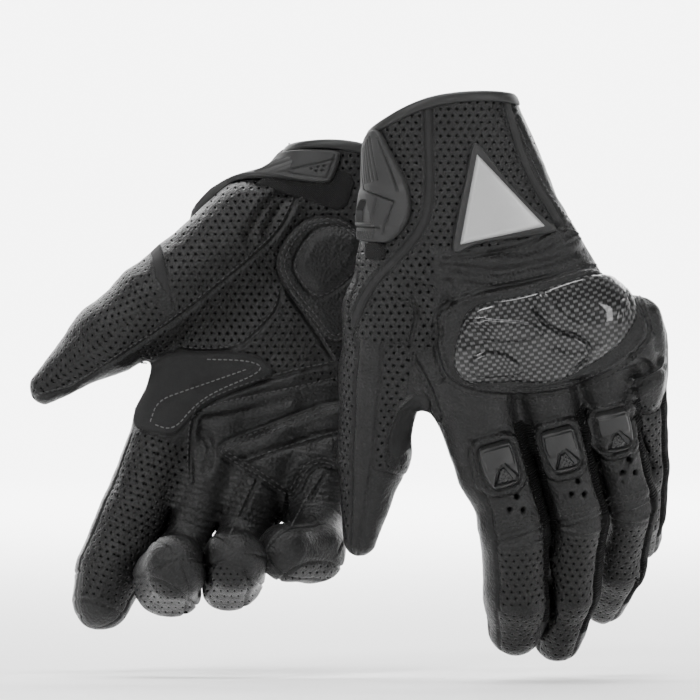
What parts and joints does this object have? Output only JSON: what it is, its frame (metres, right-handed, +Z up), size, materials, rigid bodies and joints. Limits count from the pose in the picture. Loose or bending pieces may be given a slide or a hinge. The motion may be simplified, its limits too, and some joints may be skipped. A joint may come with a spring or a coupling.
{
  "type": "riding gloves",
  "caption": "Pair of short-cuff leather riding gloves with a hard knuckle guard, finger armour, a cuff strap and hinged fingers.",
  "frame": {"origin": "middle of the left glove's cuff mouth", "axes": "+Z up, out of the cuffs; +X to the right across both gloves, seen with the left glove's back in front; +Y from the left glove's back towards the right glove behind it"},
  "size_m": [0.2679, 0.1546, 0.2325],
  "materials": {
    "leather": "smooth black goatskin",
    "mesh_leather": "perforated black goatskin",
    "suede": "black microfibre suede",
    "rubber": "matt moulded rubber",
    "carbon": "glossy woven carbon fibre",
    "silver": "silver grey print on rubber",
    "webbing": "black woven and hook-and-loop tape",
    "touch": "dark grey conductive cloth"
  },
  "bodies": {
    "left_hand": {"left_back_shell": "mesh_leather", "left_palm_shell": "leather", "left_cuff_binding": "leather", "left_knuckle_guard": "carbon", "left_badge_base": "rubber", "left_badge_plate": "silver", "left_strap_base": "rubber", "left_pull_loop": "webbing", "left_loop_patch": "webbing", "left_heel_pad": "leather", "left_palm_pad": "leather", "left_crotch_patch": "suede"},
    "left_strap": {"left_strap_tab": "rubber", "left_strap_hook_patch": "webbing"},
    "left_index_proximal": {"left_index_proximal": "mesh_leather", "left_index_armour": "rubber"},
    "left_index_end": {"left_index_tip": "mesh_leather", "left_index_touch_patch": "touch"},
    "left_middle_proximal": {"left_middle_proximal": "mesh_leather", "left_middle_armour": "rubber"},
    "left_middle_end": {"left_middle_tip": "mesh_leather"},
    "left_ring_proximal": {"left_ring_proximal": "mesh_leather", "left_ring_armour": "rubber"},
    "left_ring_end": {"left_ring_tip": "mesh_leather"},
    "left_pinky_proximal": {"left_pinky_proximal": "mesh_leather"},
    "left_pinky_end": {"left_pinky_tip": "mesh_leather"},
    "left_thumb_base": {"left_thumb_base": "mesh_leather"},
    "left_thumb_end": {"left_thumb_tip": "leather"},
    "right_hand": {"right_back_shell": "mesh_leather", "right_palm_shell": "leather", "right_cuff_binding": "leather", "right_knuckle_guard": "carbon", "right_badge_base": "rubber", "right_badge_plate": "silver", "right_strap_base": "rubber", "right_pull_loop": "webbing", "right_loop_patch": "webbing", "right_heel_pad": "leather", "right_palm_pad": "leather", "right_crotch_patch": "suede"},
    "right_strap": {"right_strap_tab": "rubber", "right_strap_hook_patch": "webbing"},
    "right_index_proximal": {"right_index_proximal": "mesh_leather", "right_index_armour": "rubber"},
    "right_index_end": {"right_index_tip": "mesh_leather", "right_index_touch_patch": "touch"},
    "right_middle_proximal": {"right_middle_proximal": "mesh_leather", "right_middle_armour": "rubber"},
    "right_middle_end": {"right_middle_tip": "mesh_leather"},
    "right_ring_proximal": {"right_ring_proximal": "mesh_leather", "right_ring_armour": "rubber"},
    "right_ring_end": {"right_ring_tip": "mesh_leather"},
    "right_pinky_proximal": {"right_pinky_proximal": "mesh_leather"},
    "right_pinky_end": {"right_pinky_tip": "mesh_leather"},
    "right_thumb_base": {"right_thumb_base": "mesh_leather"},
    "right_thumb_end": {"right_thumb_tip": "leather"}
  },
  "joints": [
    {"name": "right_glove_slide", "type": "slide", "parent": "left_hand", "child": "right_hand", "axis": [0, 1, 0], "range_m": [0, 0.1]},
    {"name": "left_strap_hinge", "type": "hinge", "parent": "left_hand", "child": "left_strap", "pos_m": [-0.03795, 0.00044, -0.0255], "axis": [0.0518, 0.0331, 0.9981], "range_deg": [0, 40], "stiffness_Nm_per_rad": 0.01},
    {"name": "left_index_root", "type": "hinge", "parent": "left_hand", "child": "left_index_proximal", "pos_m": [0.0165, 0.001, -0.119], "axis": [0.9781, 0, 0.2079], "range_deg": [-8, 30], "stiffness_Nm_per_rad": 0.02},
    {"name": "left_index_joint", "type": "hinge", "parent": "left_index_proximal", "child": "left_index_end", "pos_m": [0.02728, 0.01202, -0.16971], "axis": [0.9986, 0, 0.0523], "range_deg": [-8, 35], "stiffness_Nm_per_rad": 0.01},
    {"name": "left_middle_root", "type": "hinge", "parent": "left_hand", "child": "left_middle_proximal", "pos_m": [0.0395, 0.002, -0.114], "axis": [0.9703, 0, 0.2419], "range_deg": [-8, 30], "stiffness_Nm_per_rad": 0.02},
    {"name": "left_middle_joint", "type": "hinge", "parent": "left_middle_proximal", "child": "left_middle_end", "pos_m": [0.05194, 0.01482, -0.1639], "axis": [0.9998, 0, 0.0175], "range_deg": [-8, 35], "stiffness_Nm_per_rad": 0.01},
    {"name": "left_ring_root", "type": "hinge", "parent": "left_hand", "child": "left_ring_proximal", "pos_m": [0.062, 0.005, -0.1085], "axis": [0.9744, 0, 0.225], "range_deg": [-8, 30], "stiffness_Nm_per_rad": 0.02},
    {"name": "left_ring_joint", "type": "hinge", "parent": "left_ring_proximal", "child": "left_ring_end", "pos_m": [0.0734, 0.0205, -0.15789], "axis": [0.9994, 0, -0.0349], "range_deg": [-8, 35], "stiffness_Nm_per_rad": 0.01},
    {"name": "left_pinky_root", "type": "hinge", "parent": "left_hand", "child": "left_pinky_proximal", "pos_m": [0.0834, 0.009, -0.103], "axis": [0.9848, 0, 0.1736], "range_deg": [-8, 30], "stiffness_Nm_per_rad": 0.02},
    {"name": "left_pinky_joint", "type": "hinge", "parent": "left_pinky_proximal", "child": "left_pinky_end", "pos_m": [0.09081, 0.02623, -0.145], "axis": [0.9994, 0, 0.0349], "range_deg": [-8, 35], "stiffness_Nm_per_rad": 0.01},
    {"name": "left_thumb_root", "type": "hinge", "parent": "left_hand", "child": "left_thumb_base", "pos_m": [-0.021, 0.008, -0.081], "axis": [0.4838, -0.8138, -0.322], "range_deg": [-8, 10], "stiffness_Nm_per_rad": 0.02},
    {"name": "left_thumb_joint", "type": "hinge", "parent": "left_thumb_base", "child": "left_thumb_end", "pos_m": [-0.02294, 0.02444, -0.13955], "axis": [0.5, -0.8639, -0.0604], "range_deg": [-8, 24], "stiffness_Nm_per_rad": 0.01},
    {"name": "right_strap_hinge", "type": "hinge", "parent": "right_hand", "child": "right_strap", "pos_m": [-0.07709, 0.09456, -0.0237], "axis": [-0.5041, 0.0302, -0.8631], "range_deg": [0, 40], "stiffness_Nm_per_rad": 0.01},
    {"name": "right_index_root", "type": "hinge", "parent": "right_hand", "child": "right_index_proximal", "pos_m": [-0.109, 0.094, -0.127], "axis": [-0.8988, 0, 0.4384], "range_deg": [-8, 30], "stiffness_Nm_per_rad": 0.02},
    {"name": "right_index_joint", "type": "hinge", "parent": "right_index_proximal", "child": "right_index_end", "pos_m": [-0.12644, 0.08982, -0.16275], "axis": [-0.9205, 0, 0.3907], "range_deg": [-8, 35], "stiffness_Nm_per_rad": 0.01},
    {"name": "right_middle_root", "type": "hinge", "parent": "right_hand", "child": "right_middle_proximal", "pos_m": [-0.0865, 0.095, -0.13], "axis": [-0.9336, 0, 0.3584], "range_deg": [-8, 30], "stiffness_Nm_per_rad": 0.02},
    {"name": "right_middle_joint", "type": "hinge", "parent": "right_middle_proximal", "child": "right_middle_end", "pos_m": [-0.10531, 0.08762, -0.179], "axis": [-0.9136, 0, 0.4067], "range_deg": [-8, 12], "stiffness_Nm_per_rad": 0.01},
    {"name": "right_ring_root", "type": "hinge", "parent": "right_hand", "child": "right_ring_proximal", "pos_m": [-0.0645, 0.094, -0.129], "axis": [-0.9563, 0, 0.2924], "range_deg": [-8, 30], "stiffness_Nm_per_rad": 0.02},
    {"name": "right_ring_joint", "type": "hinge", "parent": "right_ring_proximal", "child": "right_ring_end", "pos_m": [-0.08013, 0.08648, -0.18014], "axis": [-0.9397, 0, 0.342], "range_deg": [-8, 12], "stiffness_Nm_per_rad": 0.01},
    {"name": "right_pinky_root", "type": "hinge", "parent": "right_hand", "child": "right_pinky_proximal", "pos_m": [-0.043, 0.093, -0.127], "axis": [-0.9744, 0, 0.225], "range_deg": [-8, 30], "stiffness_Nm_per_rad": 0.02},
    {"name": "right_pinky_joint", "type": "hinge", "parent": "right_pinky_proximal", "child": "right_pinky_end", "pos_m": [-0.05275, 0.08536, -0.16922], "axis": [-0.9397, 0, 0.342], "range_deg": [-8, 12], "stiffness_Nm_per_rad": 0.01},
    {"name": "right_thumb_root", "type": "hinge", "parent": "right_hand", "child": "right_thumb_base", "pos_m": [-0.106, 0.086, -0.071], "axis": [-0.2126, -0.8613, 0.4615], "range_deg": [-8, 10], "stiffness_Nm_per_rad": 0.02},
    {"name": "right_thumb_joint", "type": "hinge", "parent": "right_thumb_base", "child": "right_thumb_end", "pos_m": [-0.13625, 0.08244, -0.09371], "axis": [-0.2527, -0.8639, 0.4357], "range_deg": [-8, 24], "stiffness_Nm_per_rad": 0.01}
  ]
}
